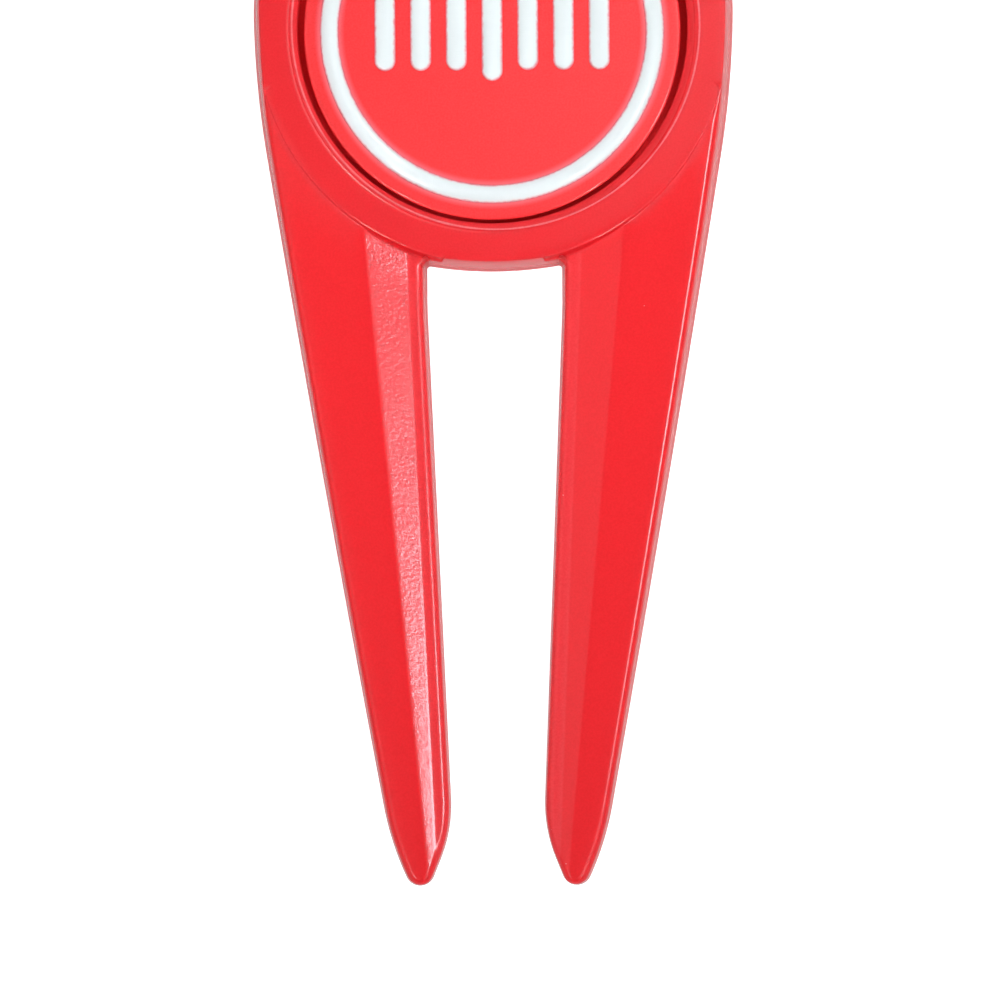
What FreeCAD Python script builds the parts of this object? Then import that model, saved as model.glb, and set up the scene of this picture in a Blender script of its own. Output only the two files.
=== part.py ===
import FreeCAD, Part
import math
import os

Vector = FreeCAD.Vector

# Divot repair tool: a cast two-pronged fork whose round head carries a magnetic ball marker.
# It lies on its flat back.  The origin is on the back, under the centre of the head.
# +Z leaves the front face, and +Y points from the prongs to the top of the head.
# Driving dimensions, in millimetres and degrees:

# Ball marker: a painted steel disc with raised white enamel on its face
marker_diameter = 25.0
marker_thickness = 1.6
marker_edge_round = 0.25
marker_back_chamfer = 0.15
enamel_height = 0.32
enamel_round = 0.24
ring_diameter = 22.84
ring_width = 1.23
bar_count = 7
bar_width = 1.4
bar_gap = 0.97
bar_length = 5.2
middle_bar_length = 6.6

# Pocket in the head, its rim, and the magnet glued under its floor
marker_recess = 0.55
pocket_clearance = 0.46
marker_slide = 0.45
pocket_floor_round = 0.2
rim_bevel_width = 0.54
rim_bevel_depth = 0.36
collar_width = 2.26
magnet_diameter = 8.0
magnet_thickness = 1.0
magnet_edge_chamfer = 0.12
magnet_clearance = 0.1
magnet_sink = 0.05
glue_thickness = 0.1

# Head: a raised disc, trimmed on both sides by the flanks that run down the prongs
head_thickness = 4.0
draft_angle = 6.0
front_edge_chamfer = 0.15
back_edge_chamfer = 0.15
flank_trim = 0.15
flank_rise = 2.1
flank_radius = 64.3
shoulder_radius = 10.4

# Prongs, seen from the front
prong_reach = 57.05
prong_side_radius = 2400.0
tip_spacing = 10.48
tip_radius = 1.0
tip_nose_radius = 20.0
tip_nose_angle = 24.7
tip_chamfer_angle = 21.9
tip_chamfer_round = 9.7
gap_width = 9.0
gap_straight_depth = 2.2
gap_taper_angle = 2.385
gap_taper_round = 40.0
crotch_reach = 16.05
crotch_radius = 25.0
crotch_corner_radius = 0.22

# Faceted fronts of the prongs: a soft ridge runs down each one between two sloping facets
ridge_root_offset = 8.42
ridge_tip_offset = 4.62
ridge_root_drop = 0.4
ridge_tip_height = 1.84
inner_facet_tilt = 12.0
outer_facet_tilt = 1.5
ridge_round = 1.4

# Sizes that follow from the ones above
draft = math.tan(math.radians(draft_angle))
pocket_radius = marker_diameter / 2 + pocket_clearance
pocket_floor_height = head_thickness - marker_recess - marker_thickness
marker_seat = Vector(0, -marker_slide * pocket_clearance, pocket_floor_height)
magnet_seat = Vector(0, 0, pocket_floor_height - magnet_sink - magnet_thickness)
glue_seat = magnet_seat - Vector(0, 0, glue_thickness)
rim_radius = pocket_radius + rim_bevel_width
disc_radius = rim_radius + collar_width
disc_base_radius = disc_radius + head_thickness * draft
gap_side = gap_width / 2
beyond = 2 * prong_reach


def direction(angle):
    """The unit vector at an angle from +X, seen from the front."""
    return Vector(math.cos(math.radians(angle)), math.sin(math.radians(angle)), 0)


def angle_of(vector):
    return math.degrees(math.atan2(vector.y, vector.x))


def circles_meet(centre_a, radius_a, centre_b, radius_b):
    """Where two circles cross, to the right of the way from the first centre to the second."""
    span = centre_b - centre_a
    along = (span.Length**2 + radius_a**2 - radius_b**2) / (2 * span.Length)
    across = math.sqrt(radius_a**2 - along**2)
    unit = span / span.Length
    return centre_a + unit * along + Vector(unit.y, -unit.x, 0) * across


def clear_of_lines(point_a, angle_a, point_b, angle_b, distance):
    """The point at one distance outside two lines, each given by a point and its normal's angle."""
    normal_a = direction(angle_a)
    normal_b = direction(angle_b)
    reach_a = normal_a.dot(point_a) + distance
    reach_b = normal_b.dot(point_b) + distance
    area = normal_a.x * normal_b.y - normal_a.y * normal_b.x
    x = (reach_a * normal_b.y - reach_b * normal_a.y) / area
    y = (reach_b * normal_a.x - reach_a * normal_b.x) / area
    return Vector(x, y, 0)


def closed_wire(rows):
    """A closed wire: each row of three points is an arc, and straight lines join the rows."""
    edges = []
    for row, following in zip(rows, rows[1:] + rows[:1]):
        if len(row) == 3:
            edges.append(Part.Arc(*row).toShape())
        if row[-1].distanceToPoint(following[0]) > 1e-6:
            edges.append(Part.LineSegment(row[-1], following[0]).toShape())
    return Part.Wire(edges)


def arc_stations(centre, radius, start, end):
    """Start, middle and end of an arc with their outward normals.  A negative radius is a hollow."""
    angles = (start, (start + end) / 2, end)
    return [(centre + direction(angle) * radius, direction(angle)) for angle in angles]


def right_outline():
    """The right half of the fork's outline at its base, from the top of the head to the crotch."""
    head_centre = Vector(0, 0, 0)
    flank_centre = Vector(disc_base_radius - flank_trim - flank_radius, flank_rise, 0)
    shoulder_centre = circles_meet(
        head_centre, disc_base_radius - shoulder_radius, flank_centre, flank_radius - shoulder_radius
    )
    tip_centre = Vector(tip_spacing / 2, tip_radius - prong_reach, 0)
    nose_centre = tip_centre - direction(-tip_nose_angle) * (tip_nose_radius - tip_radius)
    side_centre = circles_meet(
        flank_centre, prong_side_radius - flank_radius, nose_centre, prong_side_radius - tip_nose_radius
    )
    shoulder_top = angle_of(shoulder_centre)
    shoulder_end = angle_of(shoulder_centre - flank_centre)
    side_top = angle_of(flank_centre - side_centre)
    side_end = angle_of(nose_centre - side_centre)
    chamfer = tip_chamfer_angle - 180
    taper = -180 - gap_taper_angle
    taper_top = Vector(gap_side, -disc_base_radius - gap_straight_depth, 0)
    chamfer_low = tip_centre + direction(chamfer) * tip_radius
    inner_centre = clear_of_lines(chamfer_low, chamfer, taper_top, taper, -tip_chamfer_round)
    taper_centre = clear_of_lines(taper_top, taper, taper_top, -180, gap_taper_round)
    crotch_centre = Vector(0, crotch_radius - crotch_reach, 0)
    corner_offset = gap_side - crotch_corner_radius
    corner_drop = math.sqrt((crotch_radius + crotch_corner_radius) ** 2 - corner_offset**2)
    corner_centre = crotch_centre + Vector(corner_offset, -corner_drop, 0)
    crotch_end = angle_of(corner_centre - crotch_centre)
    return [
        arc_stations(head_centre, disc_base_radius, 90, shoulder_top),
        arc_stations(shoulder_centre, shoulder_radius, shoulder_top, shoulder_end),
        arc_stations(flank_centre, flank_radius, shoulder_end, side_top),
        arc_stations(side_centre, prong_side_radius, side_top, side_end),
        arc_stations(nose_centre, tip_nose_radius, side_end, -tip_nose_angle),
        arc_stations(tip_centre, tip_radius, -tip_nose_angle, chamfer),
        arc_stations(inner_centre, tip_chamfer_round, chamfer, taper),
        arc_stations(taper_centre, -gap_taper_round, taper, -180),
        arc_stations(corner_centre, -crotch_corner_radius, -180, crotch_end),
        arc_stations(crotch_centre, crotch_radius, crotch_end, -90),
    ]


def outline_at(height, inset):
    """The whole outline, inset from its base and lifted."""
    right = []
    for stations in right_outline():
        right.append([point - normal * inset + Vector(0, 0, height) for point, normal in stations])
    left = []
    for row in reversed(right):
        left.append([Vector(-point.x, point.y, point.z) for point in reversed(row)])
    return closed_wire(right + left)


def fork_blank():
    """The outline at full thickness, with drafted walls and its front and back edges broken."""
    shoulder = head_thickness - front_edge_chamfer
    levels = [
        outline_at(0, back_edge_chamfer),
        outline_at(back_edge_chamfer, back_edge_chamfer * draft),
        outline_at(shoulder, shoulder * draft),
        outline_at(head_thickness, head_thickness * draft + front_edge_chamfer),
    ]
    return Part.makeLoft(levels, True, True)


def turned(profile):
    """A solid turned about Z.  Each step of its profile is one (radius, height) point or an arc of three."""
    rows = [[Vector(radius, 0, height) for radius, height in step] for step in profile]
    return Part.Face(closed_wire(rows)).revolve(Vector(0, 0, 0), Vector(0, 0, 1), 360)


def corner_round(radius, height, size, start, end):
    """Three points of a round in a profile, from the radius and height of its centre."""
    spots = [direction(angle) * size for angle in (start, (start + end) / 2, end)]
    return [(radius + spot.x, height + spot.y) for spot in spots]


def head_disc():
    """The head's whole raised disc, before the flanks trim it."""
    shoulder = head_thickness - front_edge_chamfer
    profile = [
        [(0, 0)],
        [(0, head_thickness)],
        [(disc_radius - front_edge_chamfer, head_thickness)],
        [(disc_base_radius - shoulder * draft, shoulder)],
        [(disc_base_radius - back_edge_chamfer * draft, back_edge_chamfer)],
        [(disc_base_radius - back_edge_chamfer, 0)],
    ]
    return turned(profile)


def under_plane(point, normal):
    """A large block whose upper face lies in a plane."""
    block = Part.makeBox(2 * beyond, 2 * beyond, beyond)
    block.translate(Vector(-beyond, -beyond, -beyond))
    tilt = FreeCAD.Rotation(Vector(0, 0, 1), normal)
    block.Placement = FreeCAD.Placement(point, tilt) * block.Placement
    return block


def above_facets(side, disc):
    """What is cast away in front of one prong, outside the disc.  The two facets meet in a ridge."""
    root = Vector(side * ridge_root_offset, -disc_base_radius, head_thickness - ridge_root_drop)
    tip = Vector(side * ridge_tip_offset, -prong_reach, ridge_tip_height)
    inner_slope = Vector(side, 0, math.tan(math.radians(inner_facet_tilt)))
    outer_slope = Vector(side, 0, -math.tan(math.radians(outer_facet_tilt)))
    inner_half = under_plane(root, inner_slope.cross(root - tip) * side)
    outer_half = under_plane(root, outer_slope.cross(root - tip) * side)
    roof = inner_half.common(outer_half)
    ridge = []
    for edge in roof.Edges:
        middle = edge.valueAt((edge.FirstParameter + edge.LastParameter) / 2)
        if middle.distanceToLine(root, tip - root) < ridge_round / 10:
            ridge.append(edge)
    front = Part.makeBox(beyond, beyond, beyond)
    front.translate(Vector(min(side, 0) * beyond, -beyond, 0))
    return front.cut(roof.makeFillet(ridge_round, ridge)).cut(disc)


def pocket():
    """The marker's round pocket with its bevelled rim, and the deeper recess for the magnet."""
    recess_radius = magnet_diameter / 2 + magnet_clearance
    floor_round = corner_round(
        pocket_radius - pocket_floor_round, pocket_floor_height + pocket_floor_round, pocket_floor_round, 0, -90
    )
    profile = [
        [(0, glue_seat.z)],
        [(0, head_thickness + rim_bevel_depth)],
        [(rim_radius + rim_bevel_width, head_thickness + rim_bevel_depth)],
        [(pocket_radius, head_thickness - rim_bevel_depth)],
        floor_round,
        [(recess_radius, pocket_floor_height)],
        [(recess_radius, glue_seat.z)],
    ]
    return turned(profile)


def fork_body():
    """The one-piece casting: the head, two faceted prongs, and the pocket for marker and magnet."""
    disc = head_disc()
    casting = fork_blank().cut([above_facets(1, disc), above_facets(-1, disc)]).removeSplitter().Solids[0]
    return casting.cut(pocket()).Solids[0]


def magnet_adhesive():
    """The thin bed of epoxy that holds the magnet in its recess."""
    return Part.makeCylinder(magnet_diameter / 2, glue_thickness, glue_seat)


def pocket_magnet():
    """The plated magnet disc with its broken edges, just under the pocket's floor."""
    radius = magnet_diameter / 2
    profile = [
        [(0, 0)],
        [(0, magnet_thickness)],
        [(radius - magnet_edge_chamfer, magnet_thickness)],
        [(radius, magnet_thickness - magnet_edge_chamfer)],
        [(radius, magnet_edge_chamfer)],
        [(radius - magnet_edge_chamfer, 0)],
    ]
    return turned(profile).translate(magnet_seat)


def marker_disc():
    """The steel disc of the ball marker, rounded at the front edge where it was blanked."""
    radius = marker_diameter / 2
    front_round = corner_round(
        radius - marker_edge_round, marker_thickness - marker_edge_round, marker_edge_round, 0, 90
    )
    profile = [
        [(0, 0)],
        [(radius - marker_back_chamfer, 0)],
        [(radius, marker_back_chamfer)],
        front_round,
        [(0, marker_thickness)],
    ]
    return turned(profile).translate(marker_seat)


def marker_ring():
    """The raised enamel ring near the marker's edge, with both its upper edges rounded."""
    outer = ring_diameter / 2
    inner = outer - ring_width
    shoulder = enamel_height - enamel_round
    profile = [
        [(inner, 0)],
        [(outer, 0)],
        corner_round(outer - enamel_round, shoulder, enamel_round, 0, 90),
        corner_round(inner + enamel_round, shoulder, enamel_round, 90, 180),
    ]
    return turned(profile).translate(marker_seat + Vector(0, 0, marker_thickness))


def marker_bar(offset, length):
    """One raised enamel bar of the alignment mark, with round ends and rounded upper edges."""
    radius = bar_width / 2
    centre = Vector(0, length / 2 - radius, 0)
    rows = []
    for middle, start in ((centre, 180), (centre * -1, 0)):
        rows.append([point for point, normal in arc_stations(middle, radius, start, start - 180)])
    bar = Part.Face(closed_wire(rows)).extrude(Vector(0, 0, enamel_height))
    top = max(bar.Faces, key=lambda face: face.CenterOfMass.z)
    rounded = bar.makeFillet(enamel_round, top.Edges).Solids[0]
    return rounded.translate(marker_seat + Vector(offset, 0, marker_thickness))


shapes = {
    "fork_body": fork_body(),
    "magnet_adhesive": magnet_adhesive(),
    "pocket_magnet": pocket_magnet(),
    "marker_disc": marker_disc(),
    "marker_ring": marker_ring(),
}
for index in range(bar_count):
    place = index - (bar_count - 1) / 2
    length = middle_bar_length if place == 0 else bar_length
    shapes[f"marker_bar_{index + 1}"] = marker_bar(place * (bar_width + bar_gap), length)

os.makedirs("parts", exist_ok=True)
for name, shape in shapes.items():
    shape.exportStep(f"parts/{name}.step")
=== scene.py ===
import cmath
import math

import bmesh
import bpy
import numpy as np
from mathutils import Matrix, Vector
from mathutils.geometry import delaunay_2d_cdt


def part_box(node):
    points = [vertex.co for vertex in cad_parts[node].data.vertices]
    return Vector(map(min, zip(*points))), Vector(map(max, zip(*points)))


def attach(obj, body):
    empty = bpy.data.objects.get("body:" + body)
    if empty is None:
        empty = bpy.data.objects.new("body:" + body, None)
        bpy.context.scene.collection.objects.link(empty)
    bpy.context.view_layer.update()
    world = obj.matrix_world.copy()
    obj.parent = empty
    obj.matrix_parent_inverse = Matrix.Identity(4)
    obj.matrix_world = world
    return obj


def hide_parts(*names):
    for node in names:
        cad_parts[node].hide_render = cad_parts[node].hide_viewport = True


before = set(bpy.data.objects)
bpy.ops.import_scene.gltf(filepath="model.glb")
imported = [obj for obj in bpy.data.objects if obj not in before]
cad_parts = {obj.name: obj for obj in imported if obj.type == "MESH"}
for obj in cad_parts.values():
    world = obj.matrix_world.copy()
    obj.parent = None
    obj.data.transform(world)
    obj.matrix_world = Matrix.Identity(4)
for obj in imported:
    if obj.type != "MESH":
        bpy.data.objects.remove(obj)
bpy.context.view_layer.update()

mm = 0.001


# Camera: it looks almost straight down on the front of the tool, which lies on its back, from a
# little to the right.  A long lens keeps the far and near edges nearly the same size.
camera_target = Vector((0.32, -31.3, 3.0)) * mm
camera_distance = 450 * mm
camera_side_angle = math.radians(1.3)
camera_roll = math.radians(0.37)

camera_data = bpy.data.cameras.new("front_camera")
camera_data.lens = 244
camera_data.clip_start = 0.01
camera_data.clip_end = 10
camera = bpy.data.objects.new("front_camera", camera_data)
bpy.context.scene.collection.objects.link(camera)
camera_back = Vector((math.sin(camera_side_angle), 0, math.cos(camera_side_angle)))
camera_up = Vector((math.sin(camera_roll), math.cos(camera_roll), 0))
camera_right = camera_up.cross(camera_back).normalized()
camera_up = camera_back.cross(camera_right)
camera_axes = Matrix((camera_right, camera_up, camera_back)).transposed()
camera_place = camera_target + camera_back * camera_distance
camera.matrix_world = Matrix.Translation(camera_place) @ camera_axes.to_4x4()
bpy.context.scene.camera = camera


# Fork: a one-piece zinc die casting, sprayed red.  The head is a raised disc with the marker's pocket
# in it, and each prong has a faceted front that meets the disc in a small step.  The paint wrinkles on
# the inner facets.  Light and shade are painted into its colour: a darker red on the disc and a dark,
# duller red in the crotch's corners are painted shade, a paler strip beside the gap is painted sheen,
# and a pale line by the pocket's rim is a painted highlight.
marker_low, marker_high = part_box("marker_disc")
head_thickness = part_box("fork_body")[1].z / mm
inner_draft = math.tan(math.radians(4.6))
outer_draft = math.tan(math.radians(7.7))
pocket_clearance = 0.46
rim_bevel_width = 0.54
rim_bevel_depth = 0.36
disc_band_width = 2.68
magnet_clearance = 0.1
pocket_radius = (marker_high.x - marker_low.x) / mm / 2 + pocket_clearance
rim_radius = pocket_radius + rim_bevel_width
rim_flat_radius = rim_radius + 0.25
rim_segments = 320
disc_base_radius = rim_radius + disc_band_width
disc_radius = disc_base_radius - head_thickness * outer_draft
pocket_floor = marker_low.z / mm
recess_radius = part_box("pocket_magnet")[1].x / mm + magnet_clearance
recess_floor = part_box("magnet_adhesive")[0].z / mm

shoulder_radius = 10.4
flank_radius = 64.3
flank_inset = 0.15
flank_rise = 2.1
flank_centre = complex(disc_base_radius - flank_inset - flank_radius, flank_rise)
side_radius = 2400.0
nose_radius = 20.0
nose_angle = -24.7
tip_radius = 1.0
tip_spacing = 10.48
tip_chamfer_angle = 21.9
tip_chamfer_round = 9.7
prong_reach = 57.05
gap_side = 4.5
gap_taper = 2.385
gap_run = math.tan(math.radians(gap_taper))
gap_round = 40.0
taper_start = disc_base_radius + 2.2
crotch_radius = 25.0
crotch_reach = 16.05
crotch_centre = crotch_radius - crotch_reach
crotch_corner_round = 0.22
station_spacing = 0.4
crotch_spacing = 0.1
station_turn = 6

disc_edge_round = 0.14
back_edge_round = 0.12
facet_edge_width = 0.46
facet_edge_drop = 0.5
inner_wall_bulge = 0.4
outer_wall_bulge = 0.55
step_least_drop = 0.05
step_foot_round = 0.16
step_slope = math.tan(math.radians(11.0))
step_root_rise = 0.05
step_root_reach = 1.3
ridge_root = Vector((8.42, -disc_base_radius, head_thickness - 0.4))
ridge_tip = Vector((4.62, -prong_reach, 1.84))
ridge_half_width = 0.13
inner_facet_slope = math.tan(math.radians(12.0))
outer_facet_slope = math.tan(math.radians(1.5))
edge_bead_width = 0.9
edge_bead_softness = 0.08
edge_bead_slope = math.tan(math.radians(8.5))

# Painted shade: the disc's red is darker than the prongs' red.
disc_shade_red = (0.81, 0.014, 0.021, 1)
prong_red = (0.85, 0.010, 0.016, 1)
# Painted sheen: the strip beside the gap is a paler, pinker red.
bead_sheen_red = (0.86, 0.025, 0.033, 1)
# Painted highlight: the pale red of a line along the pocket's rim.
rim_highlight_red = (0.88, 0.16, 0.18, 1)
# Painted shade: the dark red of the crotch's corners.
corner_shade_red = (0.66, 0.005, 0.009, 1)
glossy = 0.16
wall_dull = 0.34
corner_dull = 0.45
pocket_dull = 0.9
wall_fall = 0.032
highlight_middle = (0.24 * mm, 0.16 * mm, 0)


def unit(angle):
    return cmath.rect(1.0, math.radians(angle))


def angle_of(vector):
    return math.degrees(cmath.phase(vector))


def circles_meet(centre_a, radius_a, centre_b, radius_b):
    """Where two circles cross, to the right of the way from the first centre to the second."""
    span = abs(centre_b - centre_a)
    along = (span**2 + radius_a**2 - radius_b**2) / (2 * span)
    across = math.sqrt(radius_a**2 - along**2)
    return centre_a + (centre_b - centre_a) / span * complex(along, -across)


def clear_of_lines(point_a, angle_a, point_b, angle_b, distance):
    """The point at one distance outside two lines, each given by a point and its normal's angle."""
    normal_a = unit(angle_a)
    normal_b = unit(angle_b)
    reach_a = (normal_a.conjugate() * point_a).real + distance
    reach_b = (normal_b.conjugate() * point_b).real + distance
    area = (normal_a.conjugate() * normal_b).imag
    return -1j * (reach_a * normal_b - reach_b * normal_a) / area


def right_arcs():
    """The outline's right half at its base, as arcs of centre, radius, start and end angle.

    A hollow arc has a negative radius.
    """
    shoulder_room = disc_base_radius - shoulder_radius
    shoulder = circles_meet(0j, shoulder_room, flank_centre, flank_radius - shoulder_radius)
    tip = complex(tip_spacing / 2, tip_radius - prong_reach)
    nose = tip - unit(nose_angle) * (nose_radius - tip_radius)
    side = circles_meet(flank_centre, side_radius - flank_radius, nose, side_radius - nose_radius)
    shoulder_end = angle_of(shoulder - flank_centre)
    side_top = angle_of(flank_centre - side)
    side_end = angle_of(nose - side)
    chamfer = tip_chamfer_angle - 180
    taper = -180 - gap_taper
    taper_top = complex(gap_side, -taper_start)
    chamfer_spot = tip + unit(chamfer) * tip_radius
    inner = clear_of_lines(chamfer_spot, chamfer, taper_top, taper, -tip_chamfer_round)
    hollow = clear_of_lines(taper_top, taper, taper_top, -180, gap_round)
    corner_x = gap_side - crotch_corner_round
    corner_reach = crotch_radius + crotch_corner_round
    corner = complex(corner_x, crotch_centre - math.sqrt(corner_reach**2 - corner_x**2))
    crotch = angle_of(corner - 1j * crotch_centre)
    return [
        (0j, disc_base_radius, 90, angle_of(shoulder)),
        (shoulder, shoulder_radius, angle_of(shoulder), shoulder_end),
        (flank_centre, flank_radius, shoulder_end, side_top),
        (side, side_radius, side_top, side_end),
        (nose, nose_radius, side_end, nose_angle),
        (tip, tip_radius, nose_angle, chamfer),
        (inner, tip_chamfer_round, chamfer, taper),
        (hollow, -gap_round, taper, -180),
        (corner, -crotch_corner_round, -180, crotch),
        (1j * crotch_centre, crotch_radius, crotch, -90),
    ]


def outline_stations():
    """Points and outward normals all round the outline at its base, close together where it turns."""
    points = []
    normals = []
    for centre, radius, start, end in right_arcs():
        spacing = crotch_spacing if radius == crotch_radius else station_spacing
        arc_length = abs(math.radians(end - start) * radius)
        steps = math.ceil(max(abs(end - start) / station_turn, arc_length / spacing))
        if points:
            here = points[-1]
            run = centre + unit(start) * radius - here
            run_steps = int(abs(run) / station_spacing)
            for step in range(1, run_steps):
                points.append(here + run * step / run_steps)
                normals.append(unit(start))
        for step in range(steps + 1):
            angle = start + (end - start) * step / steps
            if not points or abs(centre + unit(angle) * radius - points[-1]) > 1e-6:
                points.append(centre + unit(angle) * radius)
                normals.append(unit(angle))
    points += [-point.conjugate() for point in points[-2:0:-1]]
    normals += [-normal.conjugate() for normal in normals[-2:0:-1]]
    return np.array(points), np.array(normals)


def gap_wall(y):
    """How far the gap's wall stands from the middle, at its base."""
    return gap_side - np.maximum(0, -y - taper_start) * gap_run


def facet_height(plan):
    """The height of the two facets of each prong and the soft ridge between them."""
    x = np.abs(plan.real)
    down = (plan.imag - ridge_root.y) / (ridge_tip.y - ridge_root.y)
    ridge_x = ridge_root.x + (ridge_tip.x - ridge_root.x) * down
    ridge_z = ridge_root.z + (ridge_tip.z - ridge_root.z) * down
    across = x - ridge_x
    mean = (inner_facet_slope - outer_facet_slope) / 2
    turn = (inner_facet_slope + outer_facet_slope) / 2
    height = ridge_z + mean * across - turn * np.sqrt(across**2 + ridge_half_width**2)
    bead = edge_bead_width - (x - gap_wall(plan.imag) - height * inner_draft)
    bead = (bead + np.sqrt(bead**2 + edge_bead_softness**2)) / 2
    past_disc = np.maximum(np.abs(plan) - disc_radius, 0)
    root = step_root_rise * np.exp(-((past_disc / step_root_reach) ** 2))
    return height + edge_bead_slope * bead + root


def round_drop(distance, radius):
    """How far a quarter round falls at a distance inside its edge."""
    past = np.clip(radius - distance, 0, radius)
    return radius - np.sqrt(radius**2 - past**2)


def step_sizes(facet):
    """The step from the disc to a facet: its edge's round, and the reach and the round of its foot."""
    drop = np.maximum(head_thickness - facet, step_least_drop)
    edge_round = np.minimum(disc_edge_round, 0.6 * drop)
    return edge_round, disc_radius + drop * step_slope, np.minimum(step_foot_round, 0.4 * drop)


def front_height(plan):
    """The height of the whole front: the disc with its rounded edge, the step and the facets."""
    reach = np.abs(plan)
    facet = facet_height(plan)
    edge_round, foot, foot_round = step_sizes(facet)
    disc = head_thickness - round_drop(disc_radius - reach, edge_round)
    wall = head_thickness - edge_round - (reach - disc_radius) / step_slope
    low = facet + round_drop(reach - foot, foot_round)
    return np.where(reach <= disc_radius, disc, np.maximum(wall, low))


def edge_rows():
    """Rows of points and their heights, from the back edge up the wall and round the front edge."""
    base, normal = outline_stations()
    height = np.full(len(base), head_thickness)
    top = base - normal * head_thickness * outer_draft
    on_disc = np.abs(top) < disc_radius + 1e-6
    outward = np.clip(normal.real * np.sign(base.real) / 0.6, -1, 1) / 2 + 0.5
    lean = np.where(on_disc, outer_draft, inner_draft + (outer_draft - inner_draft) * outward)
    bulge = inner_wall_bulge + (outer_wall_bulge - inner_wall_bulge) * outward
    for _ in range(4):
        height = np.where(on_disc, head_thickness, facet_height(top))
        top = base - normal * height * lean
    foot = disc_radius + (head_thickness - height) * step_slope
    room = np.clip(0.8 * (np.abs(top) - foot), 0.04, facet_edge_width)
    radius = np.where(on_disc, disc_edge_round, room)
    drop = np.where(on_disc, disc_edge_round, room * facet_edge_drop)
    inner = top - normal * radius
    face = np.where(on_disc, head_thickness, front_height(inner))
    rows = []
    for angle in (0, 30, 60, 90):
        turn = math.radians(angle)
        inset = back_edge_round * (1 - math.sin(turn))
        level = back_edge_round * (1 - math.cos(turn))
        rows.append((base - normal * (inset + level * lean * bulge), np.full(len(base), level)))
    for share in (0.2, 0.4, 0.6, 0.75, 0.87):
        inset = height * lean * share * (bulge + (1 - bulge) * share)
        rows.append((base - normal * inset, height * share))
    for angle in (84, 70, 56, 44, 34, 25, 17, 9, 0):
        turn = math.radians(angle)
        plan = top - normal * radius * (1 - math.sin(turn))
        rise = np.where(on_disc, 0, facet_height(plan) - facet_height(inner))
        rows.append((plan, face + rise - drop * (1 - math.cos(turn))))
    return rows


def front_face(boundary):
    """Triangles for the front between the edge and the pocket's rim, with points along each crease."""
    hole = [rim_flat_radius * unit(angle) for angle in np.arange(rim_segments) * 360 / rim_segments]
    points = list(boundary) + hole
    count = len(boundary)
    edges = [(i, (i + 1) % count) for i in range(count)]
    edges += [(count + i, count + (i + 1) % rim_segments) for i in range(rim_segments)]
    polygon = np.array(boundary)
    line_room = 0.03
    line_spacing = 0.4
    fill_room = 0.2
    fill_spacing = 0.55
    fill_side = 16.2
    fill_foot = -57.0

    def room_to_edge(plan):
        """Distance to the boundary, minus outside it."""
        spots = plan[:, None]
        end = np.roll(polygon, -1)
        along = end - polygon
        offset = spots - polygon[None, :]
        share = np.clip((offset * along.conjugate()).real / np.abs(along) ** 2, 0, 1)
        distance = np.abs(offset - share * along).min(axis=1)
        crossing = (polygon.imag > spots.imag) != (end.imag > spots.imag)
        with np.errstate(divide="ignore", invalid="ignore"):
            at = polygon.real + along.real * (spots.imag - polygon.imag) / along.imag
        inside = (crossing & (spots.real < at)).sum(axis=1) % 2 == 1
        return np.where(inside, distance, -distance)

    def add_line(line, room):
        """Adds the part of a crease that keeps this much room to the boundary, joined by edges."""
        keep = room_to_edge(line) > room
        last = None
        for plan, kept in zip(line, keep):
            if kept:
                points.append(plan)
                if last is not None:
                    edges.append((last, len(points) - 1))
                last = len(points) - 1
            else:
                last = None

    for side in (1, -1):
        angles = np.arange(-78, -8, 0.8)
        rays = np.exp(1j * np.radians(angles))
        foot = disc_radius
        for _ in range(3):
            edge_round, foot, foot_round = step_sizes(facet_height(rays * foot))
        for turn in (0, 22, 44, 66, 84):
            fall = 1 - math.sin(math.radians(turn))
            for reach in (disc_radius - edge_round * fall, foot + foot_round * fall):
                line = rays * reach
                add_line(np.where(side > 0, line, -line.conjugate()), line_room)
        y = np.arange(-taper_start + 4, -prong_reach + 3, -line_spacing)
        for inside in (0.42, 0.55, 0.68, 0.8, 0.86, 0.9, 0.94, 1.0, 1.12, 1.35):
            x = gap_wall(y) + inside + 3.0 * inner_draft
            for _ in range(3):
                x = gap_wall(y) + inside + facet_height(x + 1j * y) * inner_draft
            line = side * x + 1j * y
            add_line(line[np.abs(line) > disc_radius + 0.6], line_room)
        down = np.linspace(-0.2, 1.0, 160)
        for shift in (-0.45, -0.25, -0.12, -0.04, 0.04, 0.12, 0.25, 0.45):
            x = ridge_root.x + (ridge_tip.x - ridge_root.x) * down + shift
            y = ridge_root.y + (ridge_tip.y - ridge_root.y) * down
            line = side * x + 1j * y
            add_line(line[np.abs(line) > disc_radius + 0.5], 2 * line_room)
    columns = np.arange(-fill_side, fill_side, fill_spacing)
    xs, ys = np.meshgrid(columns, np.arange(fill_foot, fill_side, fill_spacing * 0.866))
    xs = xs + fill_spacing / 2 * (np.arange(xs.shape[0]) % 2)[:, None]
    fill = (xs + 1j * ys).ravel()
    reach = np.abs(fill)
    fill = fill[(reach > rim_flat_radius + fill_room) & (np.abs(reach - disc_radius) > 1.5 * fill_room)]
    fill = fill[room_to_edge(fill) > fill_room]
    known = np.array(points)
    far = np.array([np.abs(known - plan).min() for plan in fill])
    points += list(fill[far > 1.1 * fill_room])
    flat = [Vector((plan.real, plan.imag)) for plan in points]
    verts, _, faces, _, _, _ = delaunay_2d_cdt(flat, edges, [], 1, 1e-7, False)
    plan = np.array([complex(*vert) for vert in verts])
    faces = np.array(faces)
    middle = plan[faces].mean(axis=1)
    return plan, faces[(np.abs(middle) > rim_flat_radius) & (room_to_edge(middle) > 0)].tolist()


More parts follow.
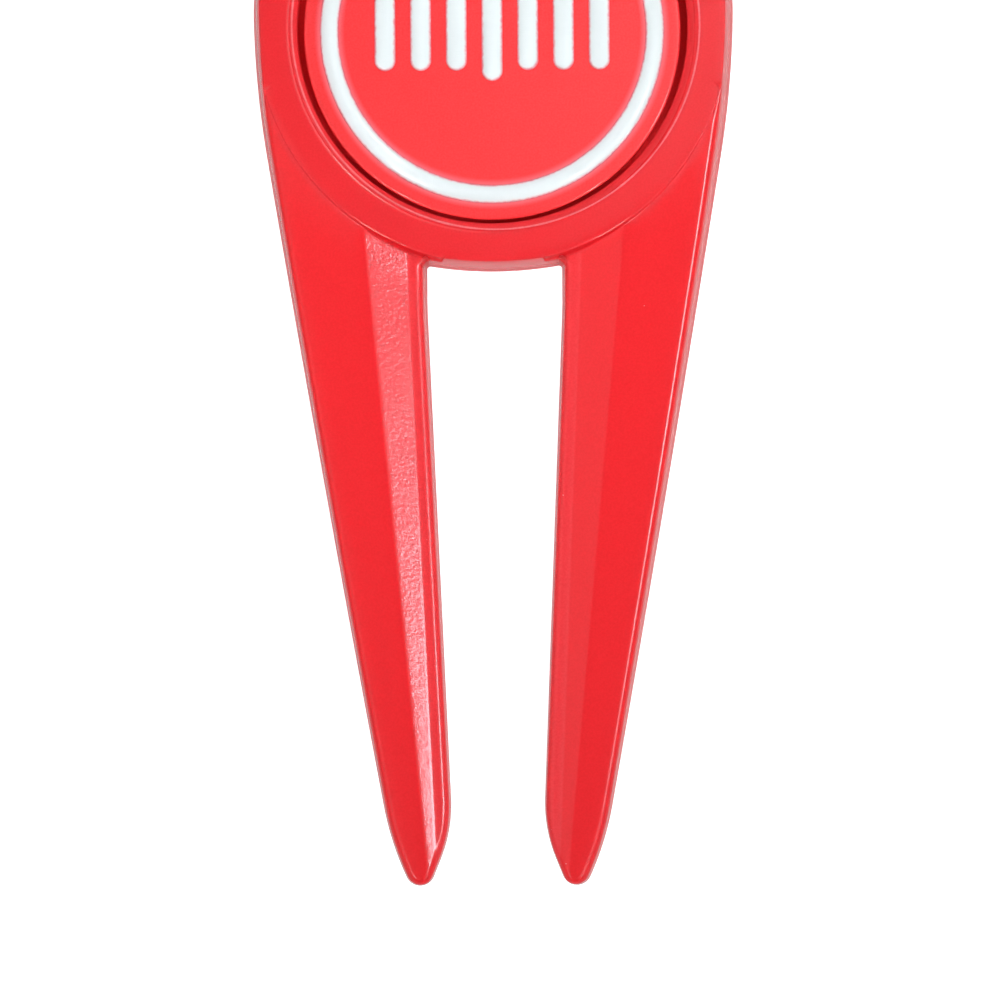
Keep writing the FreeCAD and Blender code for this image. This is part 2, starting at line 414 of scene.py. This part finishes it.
rows = edge_rows()
count = len(rows[0][0])
coordinates = []
faces = []
for plan, height in rows:
    coordinates += list(zip(plan.real, plan.imag, height))
for row in range(len(rows) - 1):
    for i in range(count):
        j = (i + 1) % count
        faces.append((row * count + j, row * count + i, (row + 1) * count + i, (row + 1) * count + j))
faces.append(tuple(range(count)))
first = len(coordinates)
plan, triangles = front_face(rows[-1][0])
coordinates += list(zip(plan.real, plan.imag, front_height(plan)))
faces += [tuple(first + i for i in triangle) for triangle in triangles]
first = len(coordinates)
rim_profile = [
    (rim_flat_radius, head_thickness),
    (rim_radius + 0.13, head_thickness),
    (rim_radius + 0.07, head_thickness - 0.005),
    (rim_radius + 0.01, head_thickness - 0.018),
    (rim_radius - 0.06, head_thickness - 0.055),
    (pocket_radius + 0.06, head_thickness - rim_bevel_depth + 0.04),
    (pocket_radius + 0.02, head_thickness - rim_bevel_depth + 0.005),
    (pocket_radius, head_thickness - rim_bevel_depth - 0.04),
    (pocket_radius, pocket_floor + 0.2),
    (pocket_radius - 0.06, pocket_floor + 0.06),
    (pocket_radius - 0.2, pocket_floor),
    (recess_radius + 0.05, pocket_floor),
    (recess_radius, pocket_floor - 0.05),
    (recess_radius, recess_floor + 0.05),
    (recess_radius - 0.05, recess_floor),
]
for radius, height in rim_profile:
    for i in range(rim_segments):
        spot = radius * unit(i * 360 / rim_segments)
        coordinates.append((spot.real, spot.imag, height))
for row in range(len(rim_profile) - 1):
    for i in range(rim_segments):
        j = (i + 1) % rim_segments
        here = first + row * rim_segments
        below = here + rim_segments
        faces.append((below + i, below + j, here + j, here + i))
last = first + (len(rim_profile) - 1) * rim_segments
faces.append(tuple(last + i for i in range(rim_segments)))

fork_mesh = bpy.data.meshes.new("painted_fork")
fork_mesh.from_pydata([Vector(spot) * mm for spot in coordinates], [], faces)
work = bmesh.new()
work.from_mesh(fork_mesh)
bmesh.ops.remove_doubles(work, verts=work.verts, dist=0.0006 * mm)
bmesh.ops.recalc_face_normals(work, faces=work.faces)
work.to_mesh(fork_mesh)
work.free()
fork_mesh.polygons.foreach_set("use_smooth", [True] * len(fork_mesh.polygons))
painted_fork = bpy.data.objects.new("painted_fork", fork_mesh)
bpy.context.scene.collection.objects.link(painted_fork)
smooth = painted_fork.modifiers.new("flat_faces", "WEIGHTED_NORMAL")
smooth.keep_sharp = False
smooth.weight = 50


class Tree:
    """A node tree being built, with short ways to add nodes and to set or join their sockets."""

    def __init__(self, tree):
        self.tree = tree

    def join(self, value, socket):
        """Links a socket to another socket, or gives it a plain value."""
        if isinstance(value, bpy.types.NodeSocket):
            self.tree.links.new(value, socket)
        else:
            socket.default_value = value

    def add(self, kind, **inputs):
        node = self.tree.nodes.new(kind)
        for name, value in inputs.items():
            self.join(value, node.inputs[name.replace("_", " ")])
        return node

    def maths(self, operation, *values):
        """The result of a maths node."""
        node = self.tree.nodes.new("ShaderNodeMath")
        node.operation = operation
        for value, socket in zip(values, node.inputs):
            self.join(value, socket)
        return node.outputs[0]

    def vector(self, operation, *values):
        """The result of a vector maths node: a number for a length or a dot product."""
        node = self.tree.nodes.new("ShaderNodeVectorMath")
        node.operation = operation
        for value, socket in zip(values, node.inputs):
            self.join(value, socket)
        return node.outputs["Value" if operation in ("LENGTH", "DOT_PRODUCT") else "Vector"]

    def fade(self, value, start, end, low=0.0, high=1.0):
        """A smooth change from low to high while a value goes from start to end."""
        node = self.add("ShaderNodeMapRange", Value=value, From_Min=start, From_Max=end)
        self.join(low, node.inputs["To Min"])
        self.join(high, node.inputs["To Max"])
        node.interpolation_type = "SMOOTHSTEP"
        return node.outputs["Result"]

    def noise(self, place, scale, detail=1.0, roughness=0.5):
        """A noise value between 0 and 1 with about this many lumps in a metre."""
        node = self.add("ShaderNodeTexNoise", Vector=place, Scale=scale, Detail=detail)
        self.join(roughness, node.inputs["Roughness"])
        return node.outputs["Fac"]

    def mix(self, share, first, second):
        """A colour between two colours."""
        node = self.tree.nodes.new("ShaderNodeMix")
        node.data_type = "RGBA"
        self.join(share, node.inputs["Factor"])
        self.join(first, node.inputs["A"])
        self.join(second, node.inputs["B"])
        return node.outputs["Result"]

    def bump(self, height, distance):
        """The normal of a surface that rises by a distance where the height is 1."""
        node = self.add("ShaderNodeBump", Height=height, Distance=distance, Strength=1.0)
        return node.outputs["Normal"]


def new_material(name):
    """A new material: the material, its node tree, its Principled shader and its object coordinates."""
    material = bpy.data.materials.new(name)
    material.use_nodes = True
    tree = Tree(material.node_tree)
    place = tree.add("ShaderNodeTexCoord").outputs["Object"]
    return material, tree, material.node_tree.nodes["Principled BSDF"], place


def sprayed_paint_group():
    """Node group of sprayed paint: grainy colour, dust under it, sags, and wrinkles where asked for."""
    group = bpy.data.node_groups.new("sprayed_paint", "ShaderNodeTree")
    face = group.interface
    face.new_socket(name="Place", in_out="INPUT", socket_type="NodeSocketVector")
    face.new_socket(name="Paint", in_out="INPUT", socket_type="NodeSocketColor")
    face.new_socket(name="Wrinkle", in_out="INPUT", socket_type="NodeSocketFloat")
    face.new_socket(name="Dust", in_out="INPUT", socket_type="NodeSocketFloat")
    face.new_socket(name="Colour", in_out="OUTPUT", socket_type="NodeSocketColor")
    face.new_socket(name="Normal", in_out="OUTPUT", socket_type="NodeSocketVector")
    tree = Tree(group)
    enter = group.nodes.new("NodeGroupInput")
    place = enter.outputs["Place"]
    relief = 0.0115 * mm

    grain = tree.fade(tree.noise(place, 7500, 2.0), 0.25, 0.75)
    dark = tree.vector("MULTIPLY", enter.outputs["Paint"], (0.965, 0.86, 0.86))
    light = tree.vector("MULTIPLY", enter.outputs["Paint"], (1.035, 1.14, 1.14))
    colour = tree.mix(grain, dark, light)
    speck = tree.add("ShaderNodeTexVoronoi", Vector=place, Scale=1100.0)
    chance = tree.add("ShaderNodeSeparateColor", Color=speck.outputs["Color"])
    reach = tree.maths("MULTIPLY", chance.outputs["Green"], 0.05)
    near = tree.maths("LESS_THAN", speck.outputs["Distance"], reach)
    rare = tree.maths("GREATER_THAN", chance.outputs["Red"], 0.8)
    dust = tree.maths("MULTIPLY", tree.maths("MULTIPLY", near, rare), enter.outputs["Dust"])
    colour = tree.mix(dust, colour, (0.9, 0.2, 0.22, 1))

    wrinkle = tree.noise(place, 3600, 3.0, 0.6)
    height = tree.maths("MULTIPLY", wrinkle, enter.outputs["Wrinkle"])
    height = tree.maths("MULTIPLY_ADD", tree.noise(place, 420), 0.85, height)
    tree.add("NodeGroupOutput", Colour=colour, Normal=tree.bump(height, relief))
    return group


def paint(name):
    """A material in sprayed paint: the material, its tree, shader, object coordinates and coat."""
    material, tree, shader, place = new_material(name)
    coat = tree.add("ShaderNodeGroup")
    coat.node_tree = sprayed_paint
    tree.join(place, coat.inputs["Place"])
    tree.join(coat.outputs["Colour"], shader.inputs["Base Color"])
    tree.join(coat.outputs["Normal"], shader.inputs["Normal"])
    return material, tree, shader, place, coat


sprayed_paint = sprayed_paint_group()
red_paint, tree, shader, place, coat = paint("red_paint")
right_side = tree.vector("ABSOLUTE", tree.vector("MULTIPLY", place, (1 / mm, -1 / mm, 0)))
from_centre = tree.vector("LENGTH", right_side)
past_step = tree.fade(from_centre, disc_radius + 0.1, disc_radius + 0.5)
ridge_run = (ridge_root.x - ridge_tip.x) / (ridge_root.y - ridge_tip.y)
ridge_line = ridge_root.y * ridge_run - ridge_root.x
from_ridge = tree.vector("DOT_PRODUCT", right_side, (-1, -ridge_run, 0))
past_ridge = tree.fade(from_ridge, ridge_line - 0.2, ridge_line + 0.2)
from_gap = tree.vector("DOT_PRODUCT", right_side, (1, gap_run, 0))
gap_edge = gap_side + taper_start * gap_run + 0.3
bead_end = gap_edge + edge_bead_width
on_facet = tree.fade(from_gap, bead_end - 0.1, bead_end + 0.1)
wrinkled = tree.maths("MULTIPLY", tree.maths("MULTIPLY", past_ridge, on_facet), past_step)
near_head = tree.fade(from_centre, disc_radius + 0.8, disc_radius + 2.6, 1.6, 0.97)
facet_wrinkle = tree.maths("MULTIPLY", wrinkled, near_head)
on_edge = tree.fade(from_gap, gap_edge + 0.3, gap_edge + 0.5, 0.6, 0.03)
edge_wrinkle = tree.maths("MULTIPLY", on_edge, past_step)
tree.join(tree.maths("MAXIMUM", facet_wrinkle, edge_wrinkle), coat.inputs["Wrinkle"])

# Painted shade on the disc and painted sheen on the strip beside the gap.
red = tree.mix(past_step, disc_shade_red, tree.mix(on_facet, bead_sheen_red, prong_red))
# Painted highlight: a pale, ragged line near the pocket's rim, set a little off its centre.
from_highlight_middle = tree.vector("MULTIPLY", tree.vector("SUBTRACT", place, highlight_middle), (1 / mm, 1 / mm, 0))
from_highlight_line = tree.maths("SUBTRACT", tree.vector("LENGTH", from_highlight_middle), rim_radius + 0.02)
from_highlight_line = tree.maths("ABSOLUTE", from_highlight_line)
from_highlight_line = tree.maths("MULTIPLY_ADD", tree.noise(place, 900, 2.0), 0.06, from_highlight_line)
red = tree.mix(tree.fade(from_highlight_line, 0.04, 0.12, 1.0, 0.0), red, rim_highlight_red)
# Painted shade: a darker red in the crotch's corners, which are also made a little duller.
corner = (gap_side + 0.05, disc_base_radius - 0.72, 0)
from_corner = tree.vector("MULTIPLY", tree.vector("SUBTRACT", right_side, corner), (1.0, 0.8, 0))
in_corner = tree.fade(tree.vector("LENGTH", from_corner), 0.12, 0.5, 1.0, 0.0)
along = tree.add("ShaderNodeSeparateXYZ", Vector=place).outputs["Y"]
painted_corner_shade = tree.maths("MULTIPLY", in_corner, tree.fade(along, -15 * mm, -14 * mm, 1.0, 0.0))
tree.join(tree.mix(painted_corner_shade, red, corner_shade_red), coat.inputs["Paint"])
coat.inputs["Dust"].default_value = 1.0

above_wall = tree.vector("DOT_PRODUCT", place, (0, -wall_fall / mm, 1 / mm))
dull_wall = tree.fade(above_wall, 1.2, 3.3, wall_dull, glossy)
dull_pocket = tree.fade(from_centre, pocket_radius + 0.05, rim_radius + 0.05, pocket_dull, glossy)
dull = tree.maths("MAXIMUM", dull_pocket, dull_wall)
dull = tree.maths("MAXIMUM", dull, tree.maths("MULTIPLY", painted_corner_shade, corner_dull))
tree.join(dull, shader.inputs["Roughness"])
fork_mesh.materials.append(red_paint)
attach(painted_fork, "fork")
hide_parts("fork_body")


# Magnet: a nickel-plated disc in its recess, on a thin bed of amber epoxy.  Both keep their solids.
nickel, tree, shader, place = new_material("nickel_plate")
stain = tree.fade(tree.noise(place, 700, 3.0), 0.35, 0.7)
tree.join(tree.mix(stain, (0.66, 0.64, 0.6, 1), (0.52, 0.5, 0.46, 1)), shader.inputs["Base Color"])
tree.join(tree.fade(tree.noise(place, 2600, 2.0), 0.3, 0.7, 0.16, 0.34), shader.inputs["Roughness"])
tree.join(tree.bump(tree.noise(place, 5200, 2.0), 0.000004), shader.inputs["Normal"])
shader.inputs["Metallic"].default_value = 1
epoxy, tree, shader, place = new_material("amber_epoxy")
cloud = tree.fade(tree.noise(place, 900, 2.0), 0.3, 0.7)
tree.join(tree.mix(cloud, (0.34, 0.23, 0.1, 1), (0.22, 0.14, 0.06, 1)), shader.inputs["Base Color"])
tree.join(tree.bump(tree.noise(place, 1500, 2.0), 0.00002), shader.inputs["Normal"])
shader.inputs["Roughness"].default_value = 0.28
for node, material in (("pocket_magnet", nickel), ("magnet_adhesive", epoxy)):
    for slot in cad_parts[node].material_slots:
        slot.material = material


# Ball marker disc: blanked from steel, with a rounded front edge and a small chamfer at the back,
# painted the same way as the fork in a slightly pinker red.  A paler pink band on both sides of the
# enamel ring is a painted reflection of the white ring.
marker_red = (0.93, 0.036, 0.041, 1)
ring_reflection_pink = (0.86, 0.3, 0.36, 1)
marker_radius = (marker_high.x - marker_low.x) / 2
marker_middle = (marker_low + marker_high) / 2
disc_top = marker_high.z
disc_segments = 256
back_chamfer = 0.15 * mm
edge_round = 0.24 * mm
edge_fall = 0.12 * mm
flat_inset = 0.4 * mm
ring_low, ring_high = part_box("marker_ring")
ring_outer = (ring_high.x - ring_low.x) / 2
ring_width = 1.23 * mm
disc_profile = [
    (0.0, marker_low.z),
    (marker_radius - back_chamfer, marker_low.z),
    (marker_radius, marker_low.z + back_chamfer),
]
for angle in (0, 15, 30, 45, 60, 75, 90):
    turn = math.radians(angle)
    radius = marker_radius - edge_round * (1 - math.cos(turn))
    disc_profile.append((radius, disc_top - edge_fall * (1 - math.sin(turn))))
for radius in (marker_radius - flat_inset, marker_radius * 0.5, 0.0):
    disc_profile.append((radius, disc_top))
disc_work = bmesh.new()
rings = []
for radius, height in disc_profile:
    middle = Vector((marker_middle.x, marker_middle.y, height))
    if radius == 0:
        rings.append([disc_work.verts.new(middle)] * disc_segments)
        continue
    ring = []
    for i in range(disc_segments):
        turn = i / disc_segments * math.tau
        spoke = Vector((math.cos(turn), math.sin(turn), 0)) * radius
        ring.append(disc_work.verts.new(middle + spoke))
    rings.append(ring)
for low_ring, high_ring in zip(rings, rings[1:]):
    for i in range(disc_segments):
        j = (i + 1) % disc_segments
        corners = [low_ring[i], low_ring[j], high_ring[j], high_ring[i]]
        disc_work.faces.new(list(dict.fromkeys(corners)))
bmesh.ops.recalc_face_normals(disc_work, faces=disc_work.faces)
disc_mesh = bpy.data.meshes.new("marker_blank")
disc_work.to_mesh(disc_mesh)
disc_work.free()
disc_mesh.polygons.foreach_set("use_smooth", [True] * len(disc_mesh.polygons))
marker_blank = bpy.data.objects.new("marker_blank", disc_mesh)
bpy.context.scene.collection.objects.link(marker_blank)
smooth = marker_blank.modifiers.new("flat_faces", "WEIGHTED_NORMAL")
smooth.weight = 80
marker_paint, tree, shader, place, coat = paint("marker_paint")
coat.inputs["Paint"].default_value = marker_red
coat.inputs["Wrinkle"].default_value = 0.05
coat.inputs["Dust"].default_value = 0.0
shader.inputs["Roughness"].default_value = glossy
# Painted reflection of the white ring: a paler pink band on both sides of it.
from_middle = tree.vector("MULTIPLY", tree.vector("SUBTRACT", place, marker_middle), (1, 1, 0))
from_ring = tree.maths("SUBTRACT", tree.vector("LENGTH", from_middle), ring_outer - ring_width / 2)
ring_reflection = tree.fade(tree.maths("ABSOLUTE", from_ring), 0.55 * mm, 1.05 * mm, 0.42, 0.0)
tree.join(tree.mix(ring_reflection, coat.outputs["Colour"], ring_reflection_pink), shader.inputs["Base Color"])
disc_mesh.materials.append(marker_paint)
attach(marker_blank, "ball_marker")
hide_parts("marker_disc")


# Enamel on the marker: a ring near the edge and a row of bars across the middle, poured thick so
# that they stand up like soft cushions.  Towards their edges they thin out and the red shows.
enamel_white = (0.78, 0.84, 0.85, 1)
enamel_stain = (0.86, 0.2, 0.26, 1)
dome_power = 1.2
enamel, tree, shader, place = new_material("white_enamel")
rim = tree.add("ShaderNodeAttribute")
rim.attribute_name = "edge"
ragged = tree.maths("MULTIPLY_ADD", tree.noise(place, 3500, 3.0), 0.24, rim.outputs["Fac"])
stain = tree.fade(ragged, 0.84, 1.14)
tree.join(tree.mix(stain, enamel_white, enamel_stain), shader.inputs["Base Color"])
tree.join(tree.bump(tree.noise(place, 900, 2.0), 0.00002), shader.inputs["Normal"])
shader.inputs["Roughness"].default_value = 0.14


class Cushion(Tree):
    """A Geometry Nodes group for one raised shape of enamel, with named sizes, and a way to bake it."""

    def __init__(self, name, sizes):
        super().__init__(bpy.data.node_groups.new(name, "GeometryNodeTree"))
        self.sockets = {}
        face = self.tree.interface
        for size in sizes:
            socket = face.new_socket(name=size, in_out="INPUT", socket_type="NodeSocketFloat")
            self.sockets[size] = socket.identifier
        face.new_socket(name="Geometry", in_out="OUTPUT", socket_type="NodeSocketGeometry")
        self.size = self.tree.nodes.new("NodeGroupInput").outputs

    def close(self, geometry, edge, material):
        """Stores the edge value, realizes instances, sets the material and ends the group."""
        keep = self.add("GeometryNodeStoreNamedAttribute", Geometry=geometry, Name="edge", Value=edge)
        soft = self.add("GeometryNodeSetShadeSmooth", Geometry=keep.outputs[0])
        whole = self.add("GeometryNodeRealizeInstances", Geometry=soft.outputs[0])
        painted = self.add("GeometryNodeSetMaterial", Geometry=whole.outputs[0], Material=material)
        self.add("NodeGroupOutput", Geometry=painted.outputs[0])

    def bake(self, name, sizes, material):
        """A finished object of this group with its sizes set, as a plain mesh."""
        holder = bpy.data.objects.new(name, bpy.data.meshes.new(name + "_seed"))
        bpy.context.scene.collection.objects.link(holder)
        modifier = holder.modifiers.new(name, "NODES")
        modifier.node_group = self.tree
        for size, value in sizes.items():
            modifier[self.sockets[size]] = value
        holder.update_tag()
        evaluated = holder.evaluated_get(bpy.context.evaluated_depsgraph_get())
        mesh = bpy.data.meshes.new_from_object(evaluated)
        mesh.name = name
        holder.modifiers.remove(modifier)
        seed = holder.data
        holder.data = mesh
        bpy.data.meshes.remove(seed)
        if not mesh.materials:
            mesh.materials.append(material)
        return holder


ring_nodes = Cushion("enamel_ring", ("Centre X", "Centre Y", "Base", "Radius", "Width", "Height"))
grid = ring_nodes.add("GeometryNodeMeshGrid", Size_X=1.0, Size_Y=1.0, Vertices_X=361, Vertices_Y=33)
position = ring_nodes.add("GeometryNodeInputPosition").outputs[0]
spot = ring_nodes.add("ShaderNodeSeparateXYZ", Vector=position)
turn = ring_nodes.maths("MULTIPLY", spot.outputs["X"], math.tau)
roll = ring_nodes.maths("MULTIPLY", spot.outputs["Y"], math.tau)
half = ring_nodes.maths("MULTIPLY", ring_nodes.size["Width"], 0.5)
across = ring_nodes.maths("COSINE", roll)
reach = ring_nodes.maths("MULTIPLY_ADD", across, half, ring_nodes.size["Radius"])
dome = ring_nodes.maths("MAXIMUM", ring_nodes.maths("SINE", roll), 0.0)
dome = ring_nodes.maths("POWER", dome, dome_power)
cosine = ring_nodes.maths("COSINE", turn)
sine = ring_nodes.maths("SINE", turn)
out = ring_nodes.add(
    "ShaderNodeCombineXYZ",
    X=ring_nodes.maths("MULTIPLY_ADD", cosine, reach, ring_nodes.size["Centre X"]),
    Y=ring_nodes.maths("MULTIPLY_ADD", sine, reach, ring_nodes.size["Centre Y"]),
    Z=ring_nodes.maths("MULTIPLY_ADD", dome, ring_nodes.size["Height"], ring_nodes.size["Base"]),
)
held = ring_nodes.add("GeometryNodeStoreNamedAttribute", Geometry=grid.outputs["Mesh"], Name="across")
ring_nodes.join(across, held.inputs["Value"])
bent = ring_nodes.add("GeometryNodeSetPosition", Geometry=held.outputs[0], Position=out.outputs[0])
sewn = ring_nodes.add("GeometryNodeMergeByDistance", Geometry=bent.outputs[0], Distance=1e-7)
read = ring_nodes.add("GeometryNodeInputNamedAttribute", Name="across")
ring_nodes.close(sewn.outputs[0], ring_nodes.maths("ABSOLUTE", read.outputs["Attribute"]), enamel)
ring_sizes = {
    "Centre X": marker_middle.x,
    "Centre Y": marker_middle.y,
    "Base": disc_top,
    "Radius": ring_outer - ring_width / 2,
    "Width": ring_width,
    "Height": ring_high.z - disc_top,
}
soft_ring = ring_nodes.bake("soft_ring", ring_sizes, enamel)
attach(soft_ring, "ball_marker")
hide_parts("marker_ring")

bar_nodes = Cushion("enamel_bar", ("Centre X", "Centre Y", "Base", "Width", "Length", "Height"))
ball = bar_nodes.add("GeometryNodeMeshUVSphere", Segments=64, Rings=32, Radius=1.0)
position = bar_nodes.add("GeometryNodeInputPosition").outputs[0]
spot = bar_nodes.add("ShaderNodeSeparateXYZ", Vector=position)
half = bar_nodes.maths("MULTIPLY", bar_nodes.size["Width"], 0.5)
straight = bar_nodes.maths("SUBTRACT", bar_nodes.size["Length"], bar_nodes.size["Width"])
spread = bar_nodes.maths("MULTIPLY", straight, 0.5)
far = bar_nodes.maths("MULTIPLY", bar_nodes.maths("SIGN", spot.outputs["Y"]), spread)
round_y = bar_nodes.maths("MULTIPLY_ADD", spot.outputs["Y"], half, far)
dome = bar_nodes.maths("POWER", bar_nodes.maths("MAXIMUM", spot.outputs["Z"], 0.0), dome_power)
out = bar_nodes.add(
    "ShaderNodeCombineXYZ",
    X=bar_nodes.maths("MULTIPLY_ADD", spot.outputs["X"], half, bar_nodes.size["Centre X"]),
    Y=bar_nodes.maths("ADD", round_y, bar_nodes.size["Centre Y"]),
    Z=bar_nodes.maths("MULTIPLY_ADD", dome, bar_nodes.size["Height"], bar_nodes.size["Base"]),
)
rise = bar_nodes.maths("MULTIPLY", spot.outputs["Z"], spot.outputs["Z"])
rim = bar_nodes.maths("SQRT", bar_nodes.maths("MAXIMUM", bar_nodes.maths("SUBTRACT", 1.0, rise), 0.0))
held = bar_nodes.add("GeometryNodeStoreNamedAttribute", Geometry=ball.outputs["Mesh"], Name="rim")
bar_nodes.join(rim, held.inputs["Value"])
bent = bar_nodes.add("GeometryNodeSetPosition", Geometry=held.outputs[0], Position=out.outputs[0])
read = bar_nodes.add("GeometryNodeInputNamedAttribute", Name="rim")
bar_nodes.close(bent.outputs[0], read.outputs["Attribute"], enamel)
for name in [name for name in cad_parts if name.startswith("marker_bar")]:
    bar_low, bar_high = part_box(name)
    bar_sizes = {
        "Centre X": (bar_low.x + bar_high.x) / 2,
        "Centre Y": (bar_low.y + bar_high.y) / 2,
        "Base": disc_top,
        "Width": bar_high.x - bar_low.x,
        "Length": bar_high.y - bar_low.y,
        "Height": bar_high.z - disc_top,
    }
    soft_bar = bar_nodes.bake("soft_" + name, bar_sizes, enamel)
    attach(soft_bar, "ball_marker")
    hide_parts(name)


# Floor: a plain white table top under the tool.  It shows white to the eye and in the gloss, and
# still takes the tool's soft shadow.
floor_reach = 3.0
floor_fall = 0.1 * mm
floor_corners = [(x * floor_reach, y * floor_reach, 0) for x, y in ((-1, -1), (1, -1), (1, 1), (-1, 1))]
floor_mesh = bpy.data.meshes.new("floor")
floor_mesh.from_pydata(floor_corners, [], [(0, 1, 2, 3)])
floor = bpy.data.objects.new("floor", floor_mesh)
floor.location.z = -floor_fall
bpy.context.scene.collection.objects.link(floor)
floor_white, tree, shader, place = new_material("floor_white")
shader.inputs["Base Color"].default_value = (0.42, 0.42, 0.42, 1)
shader.inputs["Roughness"].default_value = 1
shader.inputs["Specular IOR Level"].default_value = 0
shader.inputs["Emission Color"].default_value = (1, 1, 1, 1)
seen = tree.add("ShaderNodeLightPath").outputs["Is Camera Ray"]
tree.join(tree.maths("MULTIPLY_ADD", seen, 0.65, 0.35), shader.inputs["Emission Strength"])
floor_mesh.materials.append(floor_white)


# Lamps: two small gridded keys light the head from the side of the tips and a third lights its rim
# from behind.  A large soft box hangs over the head, a small cool one to the right puts the gloss on
# the left prong's inner facet, and two wide boxes fill from the sides.
near_lamps = 0.3
far_lamps = 1.4
prongs_y = -0.022
head_y = -0.004
rim_y = -0.012


def add_soft_box(name, tilt, distance, size, power, aim_y=prongs_y, spread=180, colour=(1, 1, 1)):
    """A lamp that faces a spot on the tool, at two tilts in degrees from straight above it."""
    lamp = bpy.data.lights.new(name, "AREA")
    lamp.shape = "RECTANGLE"
    lamp.size, lamp.size_y = size
    lamp.energy = power
    lamp.color = colour
    lamp.spread = math.radians(spread)
    light = bpy.data.objects.new(name, lamp)
    aim = Vector((math.tan(math.radians(tilt[0])), math.tan(math.radians(tilt[1])), 1)).normalized()
    along = (Vector((0, 1, 0)) - aim * aim.y).normalized()
    across = along.cross(aim)
    place = Vector((0, aim_y, 0)) + aim * distance
    axes = Matrix((across, along, aim)).transposed()
    light.matrix_world = Matrix.Translation(place) @ axes.to_4x4()
    bpy.context.scene.collection.objects.link(light)


add_soft_box("left_key", (-22, -30), near_lamps, (0.03, 0.03), 0.0027, aim_y=head_y, spread=26)
add_soft_box("right_key", (20, -30), near_lamps, (0.03, 0.03), 0.0024, aim_y=head_y, spread=26)
add_soft_box("rim_light", (22, 30), near_lamps, (0.05, 0.05), 0.0045, aim_y=rim_y, spread=30)
add_soft_box("overhead_box", (19.5, 21.7), far_lamps, (1.05, 0.95), 3.6)
add_soft_box("right_box", (24.6, -7.9), far_lamps, (0.16, 0.152), 2.15, colour=(0.8, 0.98, 1.07))
add_soft_box("right_fill", (26, -10), far_lamps, (0.95, 1.2), 2.3)
add_soft_box("left_fill", (-26.5, -10), far_lamps, (0.95, 1.2), 1.9)


# Room: walls that are bright near the table and dimmer towards the ceiling, so that the flat faces,
# which mirror what is straight above, stay deep red.
wall_strength = 0.82
ceiling_strength = 0.28
world = bpy.data.worlds.new("room")
bpy.context.scene.world = world
world.use_nodes = True
tree = Tree(world.node_tree)
background = world.node_tree.nodes["Background"]
background.inputs["Color"].default_value = (1, 1, 1, 1)
way = tree.add("ShaderNodeTexCoord").outputs["Generated"]
up = tree.add("ShaderNodeSeparateXYZ", Vector=way).outputs["Z"]
tree.join(tree.fade(up, 0, 0.8, wall_strength, ceiling_strength), background.inputs["Strength"])

bpy.context.scene.view_settings.view_transform = "Standard"
